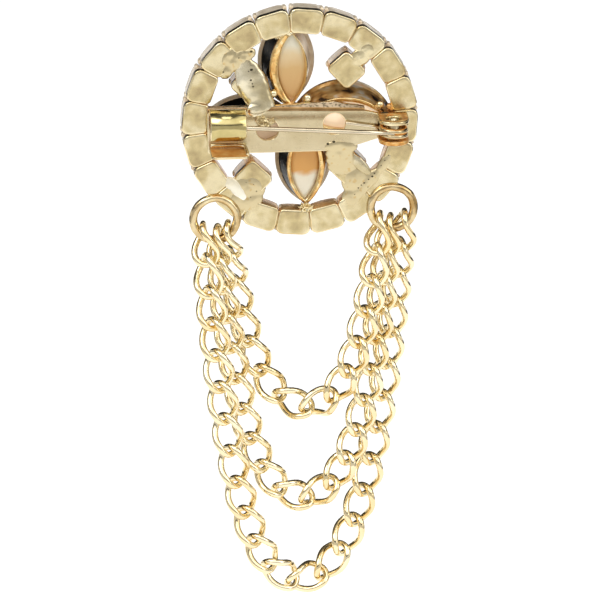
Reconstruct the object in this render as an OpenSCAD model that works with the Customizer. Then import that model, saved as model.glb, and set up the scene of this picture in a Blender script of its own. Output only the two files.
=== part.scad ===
// Tassel brooch: a wreath of square-set crystals round a four-petal flower, a pin bar across its back,
// and three swags of twisted curb chain hung from two soldered rings.
// The pin side faces -Y, the crystals face +Y, +Z is up. Sizes are in millimetres.
// Origin: on the wreath's axis, on the line of the pin, where the brooch is pinned on.

/* [Wreath] */
// Radius on which the rim cups' centres lie
rim_r = 14.2; // [12:0.1:18]
// Number of rim cups
rim_cups = 20; // [16:1:24]
// Direction of the first rim cup, in degrees
rim_start = -3.5; // [-18:0.5:18]
// Width of a rim cup along the rim
cup_w = 4.0; // [3:0.05:5]
// Width of a rim cup across the rim
cup_h = 3.5; // [3:0.05:5]
// Depth of a rim cup, back to front
cup_d = 2.6; // [2:0.1:4]
// Cut corner of a cup
cup_cut = 0.6; // [0.2:0.05:1]
// Wall of a cup
cup_wall = 0.35; // [0.25:0.05:0.6]
// Floor of a cup
cup_floor = 0.5; // [0.3:0.05:0.8]

/* [Petals] */
// Half the length of a petal setting at its front
petal_l = 6.5; // [5:0.1:8]
// Half the width of a petal setting at its front
petal_w = 3.85; // [3:0.05:5]
// Where a petal setting's open back lies, in front of the cups' backs
petal_back = 1.0; // [0.4:0.1:2]
// Where a petal setting's front lies
petal_front = 5.8; // [4:0.1:7]
// Slope of a petal setting's long walls, in degrees
petal_slope = 15.7; // [5:0.1:25]
// Wall of a petal setting
petal_wall = 0.6; // [0.4:0.05:0.9]

/* [Diagonal cups] */
// Width of a diagonal cup
corner_w = 4.2; // [3:0.05:5]
// Height of a diagonal cup
corner_h = 3.8; // [3:0.05:5]
// Depth of a diagonal cup
corner_d = 2.9; // [2:0.1:4]

/* [Pin bar] */
// Thickness of the bar, ears and flange
bar_t = 0.8; // [0.5:0.05:1.2]
// Lower edge of the bar
bar_low = -3.95; // [-5:0.05:-3]
// Upper edge of the bar
bar_high = 2.45; // [1:0.05:3]
// Radius of the bar's two holes
bar_hole_r = 1.5; // [1:0.05:2]
// Thickness of the sheet that the catch, flange and ears are bent from
sheet_t = 0.55; // [0.4:0.05:0.8]
// Underside of the flange below the catch
flange_z = -3.6; // [-4:0.05:-3]
// Underside of the joint's lower ear
ear_low = -2.2; // [-3:0.05:-1.8]
// Top of the joint's upper ear
ear_high = 1.18; // [1:0.01:1.6]

/* [Pin] */
// Where the hinge of the pin lies, to the right of the axis
pivot_x = 12.4; // [11:0.1:14]
// How far the hinge stands off the cups' backs
pivot_out = 3.1; // [2.5:0.05:4]
// Radius of the rivet
rivet_r = 0.78; // [0.5:0.01:1]
// Radius of the pin's coil at the middle of its wire
coil_r = 1.65; // [1.4:0.05:2]
// Radius of the coil's wire
wire_r = 0.34; // [0.25:0.01:0.45]
// Distance between the turns of the coil
coil_step = 0.62; // [0.55:0.01:0.66]
// Height of the pin at its coil
pin_z = -0.41; // [-1:0.01:1]
// Length of the pin from its coil to its point
pin_len = 24.3; // [20:0.1:26]

/* [Jump rings] */
// Radius of a jump ring at the middle of its wire
ring_r = 2.95; // [2:0.05:4]
// Radius of a jump ring's wire
ring_wire = 0.6; // [0.4:0.05:0.9]

/* [Chains] */
// Distance from one link of the middle chain to the next
pitch = 4.26; // [3.5:0.02:5]
// Half the length of a link of the middle chain at the middle of its wire
link_l = 2.74; // [2:0.02:3.5]
// Half the width of a link of the middle chain at the middle of its wire
link_w = 1.7; // [1.2:0.02:2.2]
// Radius of a link's wire
link_wire = 0.38; // [0.3:0.01:0.5]
// How far the first hook of a chain stands above the middle of the ring's wire
ring_drop = 1.1; // [0.9:0.05:1.2]
// How far the links are twisted about their length, in degrees each way
link_twist = 45; // [0:1:45]

/* [Hidden] */
// The line of the pin stands this far behind the cups' backs
back_y = 3.6;
stone_gap = 0.12;
// Power that makes a link's oval fuller than an ellipse
link_oval = 0.87;
// Share of a chain's length by which its hooks are drawn together at its ends and middle
swag_ease = 0.05;
// How quickly a swag changes its depth at its middle
swag_cross = 24;
gold = [0.83, 0.76, 0.56];
glass = [0.93, 0.94, 0.96];

// Petals: x, z of the middle of the front outline, direction of the long axis
petals = [
    [-1.45, 7.3, 90],
    [6.1, 0.45, 0],
    [0.9, -6.5, 90],
    [-6.7, -1.2, 0]
];
// Diagonal cups: x, z, direction of the side that faces the rim
corners = [
    [6.35, 7.15, 42],
    [-6.8, 5.5, 136],
    [-6.3, -7.85, 226],
    [6.5, -6.5, 315]
];
// Jump rings: x, z
rings = [
    [-11.5, -13.35],
    [12.5, -12.4]
];
// Columns of the table of chains
LINKS = 0;
// Place on the left and right ring, in degrees from the ring's lowest point
AT_LEFT = 1;
AT_RIGHT = 2;
// How far the first and last links are turned edge-on, in degrees
TURN_LEFT = 3;
TURN_RIGHT = 4;
// Depth of the swag near the left and right ring
DEPTH_LEFT = 5;
DEPTH_RIGHT = 6;
// Number of links over which the depth is reached, and over which the turn fades
FAN = 7;
FADE = 8;
// Size of the links and of the step between them, as a share of the middle chain's
SIZE = 9;
swags = [
    [25, -32.8, 33.6, 66.3, 59.8, -2.6, 2.86, 1.82, 2.14, 1.035],
    [20, 5.7, -5.8, 75.6, 69.5, 0.7, -0.05, 1.75, 2.34, 1],
    [14, 34.4, -34.4, 76.9, 73.1, 2.6, -2.3, 1.08, 2.05, 1.01]
];

function stone_name(i) = str("rim_stone_", i < 10 ? "0" : "", i);
function rim_angle(i) = rim_start + 360 * (i - 1) / rim_cups;
function rim_skew(i) = 2 * sin(137 * i);
function octagon(a, b, c) = [
    [a / 2 - c, -b / 2], [a / 2, -b / 2 + c], [a / 2, b / 2 - c], [a / 2 - c, b / 2],
    [c - a / 2, b / 2], [-a / 2, b / 2 - c], [-a / 2, c - b / 2], [c - a / 2, -b / 2]
];
// Radius of the two arcs of a boat-shaped outline, from half its length and half its width
function arc_r(l, w) = (l * l + w * w) / (2 * w);
// Outline of a boat shape, n points
function boat(l, w, n) = [
    for (i = [0:n - 1])
        let (s = i < n / 2 ? 1 : -1)
        let (x = s * l * (1 - 4 * (i % (n / 2)) / n))
        [x, s * (sqrt(pow(arc_r(l, w), 2) - x * x) - arc_r(l, w) + w)]
];

// A flat shape in the XZ plane, thickened from depth y0 to depth y1
module slab(y0, y1) {
    translate([0, y1, 0])
        rotate([90, 0, 0])
            linear_extrude(height = y1 - y0)
                children();
}

// Turns a shape about the wreath's axis and moves it out
module around(a, r) {
    rotate([0, -a, 0])
        translate([r, 0, 0])
            children();
}

module place(x, z, a) {
    translate([x, 0, z])
        rotate([0, -a, 0])
            children();
}

// Stacks outlines along Y into one cut stone. Each level is [depth, outline]
module cut_stone(levels) {
    n = len(levels[0][1]);
    m = len(levels);
    pts = [for (k = levels) for (p = k[1]) [p[0], k[0], p[1]]];
    sides = [
        for (j = [0:m - 2]) for (i = [0:n - 1])
            let (a = j * n + i, b = j * n + (i + 1) % n)
            each [[a, a + n, b + n], [a, b + n, b]]
    ];
    ends = [[for (i = [0:n - 1]) i], [for (i = [n - 1:-1:0]) (m - 1) * n + i]];
    polyhedron(points = pts, faces = concat(sides, ends), convexity = 2);
}

module square_stone(h, w, floor_y, top_y) {
    a = h - 2 * cup_wall - 2 * stone_gap;
    b = w - 2 * cup_wall - 2 * stone_gap;
    cut_stone([
        [floor_y + 0.15, octagon(a * 0.35, b * 0.35, 0.25)],
        [top_y - 0.25, octagon(a, b, 0.5)],
        [top_y, octagon(a, b, 0.5)],
        [top_y + 1.15, octagon(a * 0.6, b * 0.6, 0.35)]
    ]);
}

module cup(h, w, d) {
    slab(0, d) polygon(octagon(h, w, cup_cut));
}

module cup_hollow(h, w, d) {
    slab(cup_floor, d + 1.7) polygon(octagon(h - 2 * cup_wall, w - 2 * cup_wall, cup_cut * 0.7));
}

// A boat-shaped block whose long walls slope in towards the back
module boat_block(l, w, y0, y1) {
    r = arc_r(l, w);
    intersection() {
        translate([-20, y0, -20]) cube([40, y1 - y0, 40]);
        sloped_walls(r, r - w, petal_front);
    }
}

module sloped_walls(r, c, y) {
    intersection() {
        translate([0, y, -c])
            rotate([petal_slope - 90, 0, 0])
                translate([0, 0, -20])
                    cylinder(r = r, h = 40);
        translate([0, y, c])
            rotate([-petal_slope - 90, 0, 0])
                translate([0, 0, -20])
                    cylinder(r = r, h = 40);
    }
}

module petal_stone(k) {
    translate([0, back_y, 0])
        place(petals[k][0], petals[k][1], petals[k][2])
            cut_stone([
                [2.2, boat(3.4, 1.3, 12)],
                [4.0, boat(4.9, 2.45, 12)],
                [5.3, boat(5.1, 2.9, 12)],
                [6.8, boat(3.7, 1.7, 12)]
            ]);
}

module corner_stone(k) {
    translate([0, back_y, 0])
        place(corners[k][0], corners[k][1], corners[k][2])
            square_stone(corner_h, corner_w, cup_floor, corner_d);
}

module rim_stone(i) {
    translate([0, back_y, 0])
        around(rim_angle(i), rim_r)
            rotate([0, rim_skew(i), 0])
                square_stone(cup_h, cup_w, cup_floor, cup_d);
}

module rim_body() {
    for (i = [1:rim_cups])
        around(rim_angle(i), rim_r)
            rotate([0, rim_skew(i), 0])
                cup(cup_h, cup_w, cup_d);
    translate([0, 1.0, 0])
        rotate([90, 0, 0])
            difference() {
                cylinder(r = rim_r + 0.9, h = 0.75);
                translate([0, 0, -1]) cylinder(r = rim_r - 1.3, h = 3);
            }
}

module solder_ties() {
    // From each diagonal cup out to the rim
    for (c = corners)
        rotate([0, -atan2(c[1], c[0]), 0])
            translate([norm([c[0], c[1]]), 0.1, -1.3])
                cube([rim_r - 1.0 - norm([c[0], c[1]]), 0.9, 2.6]);
    // From the upper left and lower right cups to the bar
    translate([-6.0, -0.15, 1.2]) cube([3.2, 0.95, 3.2]);
    translate([3.2, -0.15, -5.6]) cube([3.8, 0.95, 2.4]);
    // Behind the middle of the flower
    translate([-0.2, 2.2, -0.8])
        rotate([90, 0, 0])
            cylinder(r = 2.3, h = 2.3);
    // At the tip of the right petal
    translate([11.3, 0.6, -0.3]) cube([1.6, 3.4, 1.6]);
}

module pin_bar() {
    difference() {
        slab(-bar_t, 0.2)
            polygon([
                [-12.6, bar_low], [6.2, bar_low], [7.6, -3.2], [10.9, ear_low],
                [10.9, 1.1], [8.6, bar_high - 0.4], [4, bar_high], [-12.6, bar_high]
            ]);
        translate([-4.45, 2, -0.7]) rotate([90, 0, 0]) cylinder(r = bar_hole_r, h = 4);
        translate([4.6, 2, -0.1]) rotate([90, 0, 0]) cylinder(r = bar_hole_r, h = 4);
    }
}

// Rolled tongue that the pin springs under, and the flange below it
module catch() {
    translate([-12.5, -2.3, 0.55])
        rotate([90, 0, 90])
            rotate_extrude(start = 15, angle = 225)
                translate([1.72, 0])
                    square([sheet_t, 5.0]);
    translate([0, 0, flange_z])
        linear_extrude(height = sheet_t)
            polygon([[-12.4, -0.5], [-12.4, -4.1], [-11.6, -4.9], [-8.0, -4.9], [-7.2, -4.1], [-7.2, -0.5]]);
}

// Folded bracket whose two ears hold the rivet
module joint_bracket() {
    difference() {
        union() {
            slab(-bar_t, 0.2)
                polygon([
                    [10.4, ear_low + 0.5], [10.9, ear_low], [14.0, ear_low],
                    [14.5, ear_low + 0.5], [14.5, ear_high], [10.4, ear_high]
                ]);
            for (z = [ear_low, ear_high - sheet_t])
                translate([0, 0, z])
                    linear_extrude(height = sheet_t)
                        polygon([[10.4, -0.5], [10.4, -3.7], [11.5, -5.0], [13.4, -5.0], [14.5, -3.7], [14.5, -0.5]]);
        }
        for (z = [ear_low, ear_high - sheet_t])
            translate([pivot_x, -pivot_out, z - 0.1])
                cylinder(r = rivet_r + 0.1, h = sheet_t + 0.2);
    }
}

module jump_ring(c) {
    translate([c[0], 0, c[1]])
        rotate([90, 0, 0])
            rotate_extrude()
                translate([ring_r, 0])
                    circle(r = ring_wire);
}

module setting_frame() {
    color(gold)
        translate([0, back_y, 0])
            difference() {
                union() {
                    difference() {
                        union() {
                            for (p = petals)
                                place(p[0], p[1], p[2])
                                    boat_block(petal_l, petal_w, petal_back, petal_front);
                            solder_ties();
                        }
                        for (p = petals)
                            place(p[0], p[1], p[2])
                                boat_block(petal_l - 0.9, petal_w - petal_wall, 2.2, petal_front + 1);
                        for (p = petals)
                            place(p[0], p[1], p[2])
                                boat_block(petal_l - 0.9, petal_w - petal_wall, 0.3, 2.4);
                    }
                    rim_body();
                    for (c = corners)
                        place(c[0], c[1], c[2])
                            cup(corner_h, corner_w, corner_d);
                    pin_bar();
                    catch();
                    joint_bracket();
                    for (c = rings)
                        jump_ring(c);
                }
                for (i = [1:rim_cups])
                    around(rim_angle(i), rim_r)
                        rotate([0, rim_skew(i), 0])
                            cup_hollow(cup_h, cup_w, cup_d);
                for (c = corners)
                    place(c[0], c[1], c[2])
                        cup_hollow(corner_h, corner_w, corner_d);
            }
}

module pivot_rivet() {
    color(gold)
        translate([pivot_x, back_y - pivot_out, 0]) {
            translate([0, 0, ear_low - 0.1]) cylinder(r = rivet_r, h = ear_high - ear_low);
            translate([0, 0, ear_low - 0.5]) cylinder(r = rivet_r + 0.3, h = 0.42);
        }
}

module pin_stem() {
    color(gold)
        translate([pivot_x, back_y - pivot_out, pin_z]) {
            rotate_extrude()
                translate([coil_r, 0]) {
                    for (k = [-1:1])
                        translate([0, k * coil_step])
                            circle(r = wire_r);
                }
            // Straight pin, from the front of the coil to its point under the catch
            translate([0, -coil_r, 0])
                rotate([0, -90 + 2.1, 0])
                    rotate([-5.1, 0, 0]) {
                        cylinder(r = wire_r - 0.02, h = pin_len - 2.4);
                        translate([0, 0, pin_len - 2.4])
                            cylinder(r1 = wire_r - 0.02, r2 = 0.08, h = 2.4);
                    }
        }
}

module spring_leg() {
    color(gold)
        translate([11.0, back_y - bar_t - 0.34, -0.7])
            rotate([0, -90 + 9.5, 0])
                cylinder(r = 0.22, h = 5.1);
}

// A hanging chain is a catenary: its parameter from span, rise and length, found by halving
function cat_a(h, k, lo = 0.5, hi = 80, n = 40) =
    n == 0 ? (lo + hi) / 2
    : let (m = (lo + hi) / 2) 2 * m * sinh(h / (2 * m)) > k ? cat_a(h, k, m, hi, n - 1) : cat_a(h, k, lo, m, n - 1);
function sinh(x) = (exp(x) - exp(-x)) / 2;
function asinh(x) = ln(x + sqrt(x * x + 1));
function atanh(x) = ln((1 + x) / (1 - x)) / 2;
function on_ring(k, a) = [rings[k][0] + ring_r * sin(a), rings[k][1] - ring_r * cos(a) + ring_drop];

// Points where the links of a swag hook into each other
function hooks(s) =
    let (p = on_ring(0, s[AT_LEFT]), q = on_ring(1, s[AT_RIGHT]), n = s[LINKS], len = n * pitch * s[SIZE])
    let (h = q[0] - p[0], v = q[1] - p[1], a = cat_a(h, sqrt(len * len - v * v)))
    let (x0 = (p[0] + q[0]) / 2 - a * atanh(v / len), start = a * sinh((p[0] - x0) / a))
    let (z0 = p[1] - sqrt(a * a + start * start))
    [
        for (i = [0:n])
            let (t = i / n, arc = start + len * (t - swag_ease * sin(720 * t) / (4 * PI)))
            let (depth = s[DEPTH_LEFT] + (s[DEPTH_RIGHT] - s[DEPTH_LEFT]) / (1 + exp(-swag_cross * (t - 0.5))))
            [
                x0 + a * asinh(arc / a),
                depth * (1 - exp(-pow(min(i, n - i) / s[FAN], 2))),
                z0 + sqrt(a * a + arc * arc)
            ]
    ];

// Mean turn of link i about its length: the links lie flat, and turn edge-on towards the rings
function link_roll(i, s) =
    i + 0.5 < s[LINKS] / 2
    ? 180 - s[TURN_LEFT] * exp(-(i + 0.5) / s[FADE])
    : 180 + s[TURN_RIGHT] * exp(-(s[LINKS] - i - 0.5) / s[FADE]);

function unit(v) = v / norm(v);
// Middle of a link's wire at turn t: an oval twisted about its length
function link_mid(t, roll) =
    let (c = cos(t), s = sin(t))
    let (x = link_l * sign(c) * pow(abs(c), link_oval), w = link_w * sign(s) * pow(abs(s), link_oval))
    let (a = roll + link_twist * sin(90 * x / link_l))
    [x, w * cos(a), w * sin(a)];

// One link between two hooks, as a closed tube with 12 sections and 6 sides
module link(p, q, roll, size) {
    u = unit(q - p);
    w = unit(cross(u, [0, 1, 0]));
    v = cross(w, u);
    mid = (p + q) / 2;
    pts = [
        for (i = [0:11])
            let (o = size * link_mid(30 * i, roll))
            let (t = unit(link_mid(30 * i + 3, roll) - link_mid(30 * i - 3, roll)))
            let (e = unit(o - t * (o * t)), f = cross(t, e))
            for (j = [0:5])
                let (g = o + link_wire * (cos(60 * j) * e + sin(60 * j) * f))
                mid + g[0] * u + g[1] * w + g[2] * v
    ];
    polyhedron(
        points = pts,
        faces = [
            for (i = [0:11]) for (j = [0:5])
                let (a = i * 6, b = ((i + 1) % 12) * 6, k = (j + 1) % 6)
                each [[a + j, a + k, b + k], [a + j, b + k, b + j]]
        ],
        convexity = 4
    );
}

module swag(s) {
    h = hooks(s);
    color(gold)
        translate([0, back_y, 0])
            for (i = [0:s[LINKS] - 1])
                link(h[i], h[i + 1], link_roll(i, s), s[SIZE]);
}

setting_frame();
pivot_rivet();
pin_stem();
spring_leg();
for (i = [1:rim_cups]) color(glass) rim_stone(i);
color(glass) petal_stone(0);  // petal_stone_top
color(glass) petal_stone(1);  // petal_stone_right
color(glass) petal_stone(2);  // petal_stone_bottom
color(glass) petal_stone(3);  // petal_stone_left
color(glass) corner_stone(0);  // corner_stone_1
color(glass) corner_stone(1);  // corner_stone_2
color(glass) corner_stone(2);  // corner_stone_3
color(glass) corner_stone(3);  // corner_stone_4
swag(swags[0]);  // chain_outer
swag(swags[1]);  // chain_middle
swag(swags[2]);  // chain_inner
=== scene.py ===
"""Tassel brooch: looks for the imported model. Metres, same frame as the CAD."""

import math
from collections import namedtuple

import bmesh
import bpy
from mathutils import Matrix, Vector, noise
from mathutils.bvhtree import BVHTree


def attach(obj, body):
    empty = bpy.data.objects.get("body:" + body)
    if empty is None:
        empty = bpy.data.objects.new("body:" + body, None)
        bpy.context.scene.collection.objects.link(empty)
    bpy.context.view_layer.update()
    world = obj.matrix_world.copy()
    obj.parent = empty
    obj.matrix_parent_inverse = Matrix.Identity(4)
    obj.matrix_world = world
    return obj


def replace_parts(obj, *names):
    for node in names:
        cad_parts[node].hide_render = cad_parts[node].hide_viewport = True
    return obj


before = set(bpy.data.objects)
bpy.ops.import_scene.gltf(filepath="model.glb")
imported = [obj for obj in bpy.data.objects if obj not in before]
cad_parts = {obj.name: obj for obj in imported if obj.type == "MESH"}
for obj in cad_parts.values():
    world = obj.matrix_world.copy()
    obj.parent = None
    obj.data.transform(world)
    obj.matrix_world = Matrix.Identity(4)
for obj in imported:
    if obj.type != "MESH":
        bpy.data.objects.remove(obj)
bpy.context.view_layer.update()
MM = 0.001
BACK_Y = 3.6  # the cups' backs lie this far from the line of the pin, towards the crystals, in mm


# Materials

def node_material(name):
    """New material with its node tree and its shader."""
    m = bpy.data.materials.new(name)
    m.use_nodes = True
    nt = m.node_tree
    return m, nt, nt.nodes["Principled BSDF"]


def object_place(nt):
    """Place on the piece itself, in metres."""
    return nt.nodes.new("ShaderNodeTexCoord").outputs["Object"]


def add_noise(nt, place, scale, detail=3.0, rough=0.5):
    n = nt.nodes.new("ShaderNodeTexNoise")
    n.inputs["Scale"].default_value = scale
    n.inputs["Detail"].default_value = detail
    n.inputs["Roughness"].default_value = rough
    nt.links.new(place, n.inputs["Vector"])
    return n.outputs["Fac"]


def ramp(nt, value, stops):
    """Colour that runs through the stops (value, colour)."""
    r = nt.nodes.new("ShaderNodeValToRGB")
    elements = r.color_ramp.elements
    while len(elements) < len(stops):
        elements.new(0.5)
    for element, (position, color) in zip(elements, stops):
        element.position = position
        element.color = (*color, 1.0)
    nt.links.new(value, r.inputs["Fac"])
    return r.outputs["Color"]


def map_range(nt, value, start, end, low=0.0, high=1.0):
    """Value moved from the range start to end into the range low to high."""
    r = nt.nodes.new("ShaderNodeMapRange")
    r.inputs["From Min"].default_value = start
    r.inputs["From Max"].default_value = end
    r.inputs["To Min"].default_value = low
    r.inputs["To Max"].default_value = high
    nt.links.new(value, r.inputs["Value"])
    return r.outputs["Result"]


def bump(nt, height, strength, height_mm):
    b = nt.nodes.new("ShaderNodeBump")
    b.inputs["Strength"].default_value = strength
    b.inputs["Distance"].default_value = height_mm * MM
    nt.links.new(height, b.inputs["Height"])
    return b.outputs["Normal"]


def metal(name, stops, rough=(0.15, 0.3), patch=350.0, wave_mm=0.03, metallic=1.0):
    """Metal with soft waves, its colour varied over patches: patch is the noise's scale, per metre."""
    m, nt, shader = node_material(name)
    place = object_place(nt)
    patches = add_noise(nt, place, patch, 2.0)
    finer = add_noise(nt, place, patch * 6, 3.0, 0.6)
    nt.links.new(ramp(nt, patches, stops), shader.inputs["Base Color"])
    nt.links.new(map_range(nt, finer, 0.0, 1.0, *rough), shader.inputs["Roughness"])
    nt.links.new(bump(nt, patches, 0.6, wave_mm), shader.inputs["Normal"])
    shader.inputs["Metallic"].default_value = metallic
    return m


def speckled(name, ground, spots, share, scale=2600.0, rough=0.3, metallic=1.0, wave_mm=0.06):
    """Metal with small spots of another colour over about the given share of it."""
    m, nt, shader = node_material(name)
    place = object_place(nt)
    edge, softness = 0.72 - 0.5 * share, 0.03
    color = ramp(nt, add_noise(nt, place, scale, 2.0), [(edge - softness, ground), (edge + softness, spots)])
    nt.links.new(color, shader.inputs["Base Color"])
    nt.links.new(bump(nt, add_noise(nt, place, scale * 0.4), 0.7, wave_mm), shader.inputs["Normal"])
    shader.inputs["Roughness"].default_value = rough
    shader.inputs["Metallic"].default_value = metallic
    return m


def foil(name, low, high, stops, through=0.0):
    """Foil behind a petal's stone: its colour changes from height low to high in mm, with soft blotches.
    The last argument gives the strength of a painted glow in the foil's own colour, which stands in for light
    that shines through the stone and the thin foil."""
    m, nt, shader = node_material(name)
    place = object_place(nt)
    sep = nt.nodes.new("ShaderNodeSeparateXYZ")
    nt.links.new(place, sep.inputs[0])
    blotch = nt.nodes.new("ShaderNodeMath")
    blotch.operation = "MULTIPLY_ADD"
    blotch.inputs[1].default_value = 0.16
    nt.links.new(add_noise(nt, place, 500.0, 2.0), blotch.inputs[0])
    nt.links.new(map_range(nt, sep.outputs["Z"], low * MM, high * MM), blotch.inputs[2])
    color = ramp(nt, blotch.outputs[0], stops)
    nt.links.new(color, shader.inputs["Base Color"])
    if through:
        nt.links.new(color, shader.inputs["Emission Color"])
        shader.inputs["Emission Strength"].default_value = through
    shader.inputs["Metallic"].default_value = 0.45
    shader.inputs["Roughness"].default_value = 0.38
    return m


def crystal_material():
    m, nt, shader = node_material("crystal")
    stops = [(0.3, (0.93, 0.95, 0.98)), (0.7, (1.0, 1.0, 1.0))]
    nt.links.new(ramp(nt, add_noise(nt, object_place(nt), 400.0, 2.0), stops), shader.inputs["Base Color"])
    shader.inputs["Roughness"].default_value = 0.02
    shader.inputs["IOR"].default_value = 1.6
    shader.inputs["Transmission Weight"].default_value = 0.9
    return m


# backs of the cups; a paler gold for edges, a painted highlight; orange metal, a painted reflection where it
# faces other gold
PLATE = metal("gold_plate",
              [(0.3, (0.43, 0.33, 0.17)), (0.45, (0.57, 0.46, 0.24)), (0.65, (0.72, 0.62, 0.39))],
              (0.16, 0.3), patch=420.0)
EDGE_HIGHLIGHT = metal("gold_edge_highlight", [(0.3, (0.66, 0.5, 0.24)), (0.6, (0.88, 0.78, 0.52))], (0.12, 0.22))
INNER_REFLECTION = metal("gold_inner_reflection", [(0.3, (0.6, 0.28, 0.07)), (0.7, (0.9, 0.58, 0.24))],
              patch=700.0, wave_mm=0.05, metallic=0.6)
ORANGE_REFLECTION = metal("gold_orange_reflection", [(0.3, (0.72, 0.3, 0.05)), (0.7, (0.95, 0.56, 0.16))],
               patch=900.0, wave_mm=0.05, metallic=0.4)
# walls of the cups and petals; the near-black one is painted shade, a dark band below the cups' rolled edges
# and on the catch
SHADE = metal("gold_shade", [(0.3, (0.015, 0.012, 0.008)), (0.7, (0.05, 0.04, 0.025))], (0.25, 0.35))
SIDE = metal("gold_side", [(0.3, (0.72, 0.58, 0.4)), (0.7, (0.95, 0.82, 0.62))],
             patch=900.0, wave_mm=0.05, metallic=0.2)
SIDE_WARM = metal("gold_side_warm", [(0.3, (0.46, 0.34, 0.2)), (0.7, (0.66, 0.52, 0.34))],
                  patch=900.0, wave_mm=0.05, metallic=0.2)
WALL = metal("gold_wall", [(0.38, (0.05, 0.025, 0.01)), (0.45, (0.5, 0.27, 0.08)), (0.55, (0.8, 0.52, 0.2)),
                           (0.65, (0.95, 0.88, 0.7))], patch=420.0, wave_mm=0.2, metallic=0.5)
LEDGE = metal("gold_ledge", [(0.3, (0.6, 0.31, 0.09)), (0.55, (0.78, 0.52, 0.2)), (0.75, (0.93, 0.8, 0.5))],
              (0.12, 0.25), patch=900.0, wave_mm=0.12)
# painted dark reflection: black metal with golden specks on one side of each petal's outer wall
DARK_REFLECTION = speckled("gold_dark_reflection", (0.012, 0.01, 0.008), (0.3, 0.24, 0.14), 0.1, scale=3200.0, rough=0.25)
# pin bar, catch and joint
BAR = metal("gold_bar", [(0.3, (0.54, 0.44, 0.26)), (0.7, (0.66, 0.56, 0.36))], (0.2, 0.32), patch=250.0)
BAR_EDGE = speckled("gold_bar_edge", (0.52, 0.4, 0.26), (0.14, 0.1, 0.05), 0.35,
                    scale=3600.0, rough=0.35, metallic=0.4)
# painted shade: orange-brown for the crease along the bar's bent upper edge
CREASE_SHADE = metal("gold_crease_shade", [(0.3, (0.3, 0.16, 0.055)), (0.7, (0.48, 0.3, 0.13))], (0.2, 0.3), patch=600.0)
CATCH = metal("gold_catch", [(0.3, (0.5, 0.41, 0.17)), (0.7, (0.66, 0.55, 0.26))],
              (0.1, 0.2), patch=500.0, wave_mm=0.04)
EAR = metal("gold_ear", [(0.32, (0.45, 0.18, 0.03)), (0.5, (0.74, 0.38, 0.1)), (0.66, (0.95, 0.66, 0.28))],
            patch=900.0, wave_mm=0.15, metallic=0.5)
# solder and its pits
SOLDER = speckled("gold_solder", (0.64, 0.53, 0.31), (0.6, 0.44, 0.21), 0.14,
                  scale=1300.0, rough=0.28, wave_mm=0.04)
SOLDER_WHITE = metal("gold_solder_white", [(0.35, (0.54, 0.45, 0.26)), (0.6, (0.84, 0.76, 0.56))],
                     (0.2, 0.3), patch=200.0, wave_mm=0.01)
# painted highlight: a pale, half-metallic gold that stays bright, for glints on the solder
GLINT = metal("gold_glint", [(0.35, (0.84, 0.77, 0.58)), (0.6, (1.0, 0.97, 0.87))],
              (0.25, 0.35), patch=320.0, wave_mm=0.0, metallic=0.3)
PIT = metal("gold_pit", [(0.3, (0.03, 0.025, 0.015)), (0.7, (0.1, 0.08, 0.04))], (0.3, 0.5))
# wires
WIRE = metal("gold_wire", [(0.3, (0.6, 0.5, 0.34)), (0.7, (0.74, 0.65, 0.48))], (0.1, 0.18))
# painted dark reflection along the top and bottom of the pin
WIRE_DARK_REFLECTION = metal("gold_wire_dark_reflection", [(0.3, (0.26, 0.17, 0.07)), (0.7, (0.42, 0.3, 0.14))], (0.2, 0.3))
# painted shade: a darker copy of the wire's gold for the coil
COIL_SHADE = metal("gold_coil_shade", [(0.3, (0.48, 0.37, 0.2)), (0.7, (0.62, 0.5, 0.3))], (0.1, 0.18))
RING = metal("gold_ring", [(0.32, (0.46, 0.29, 0.11)), (0.5, (0.64, 0.48, 0.25)), (0.68, (0.8, 0.68, 0.42))],
             (0.12, 0.24), patch=450.0, wave_mm=0.15)
CHAIN = metal("gold_chain", [(0.35, (0.88, 0.71, 0.4)), (0.65, (0.95, 0.84, 0.58))],
              (0.08, 0.14), patch=160.0, wave_mm=0.0)
# stones
CRYSTAL = crystal_material()
FOIL_SILVER = metal("foil_silver", [(0.3, (0.8, 0.81, 0.84)), (0.7, (0.93, 0.94, 0.96))],
                    (0.05, 0.15), patch=900.0, wave_mm=0.0)
# the right and left foils get a painted glow, standing in for light through their stones
FOILS = {
    "top": foil("foil_top", 2.6, 12.0, [(0.0, (0.74, 0.62, 0.5)), (0.16, (0.62, 0.36, 0.14)),
                                        (0.55, (0.62, 0.4, 0.17)), (0.75, (0.72, 0.56, 0.32)),
                                        (0.9, (0.78, 0.72, 0.56))]),
    "right": foil("foil_right", -2.0, 3.0, [(0.0, (0.86, 0.68, 0.48)), (1.0, (0.92, 0.78, 0.6))], 0.5),
    "bottom": foil("foil_bottom", -11.2, -1.8, [(0.0, (0.8, 0.74, 0.6)), (0.42, (0.78, 0.7, 0.54)),
                                                (0.5, (0.66, 0.34, 0.1)), (1.0, (0.7, 0.36, 0.11))]),
    "left": foil("foil_left", -3.6, 1.4, [(0.0, (0.7, 0.52, 0.34)), (1.0, (0.8, 0.64, 0.46))], 0.3),
}


# Mesh help
# Shapes are drawn in mm in the frame of the cups: y is the depth from their backs, as in part.scad.

MERGE = 1e-4  # points closer than this are one
SMALL_FACE = 3e-7  # faces with four corners that are smaller than this, in square metres, are shaded smooth
FLAT = 0.99  # a face whose normal has this much of a direction faces that way


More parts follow.
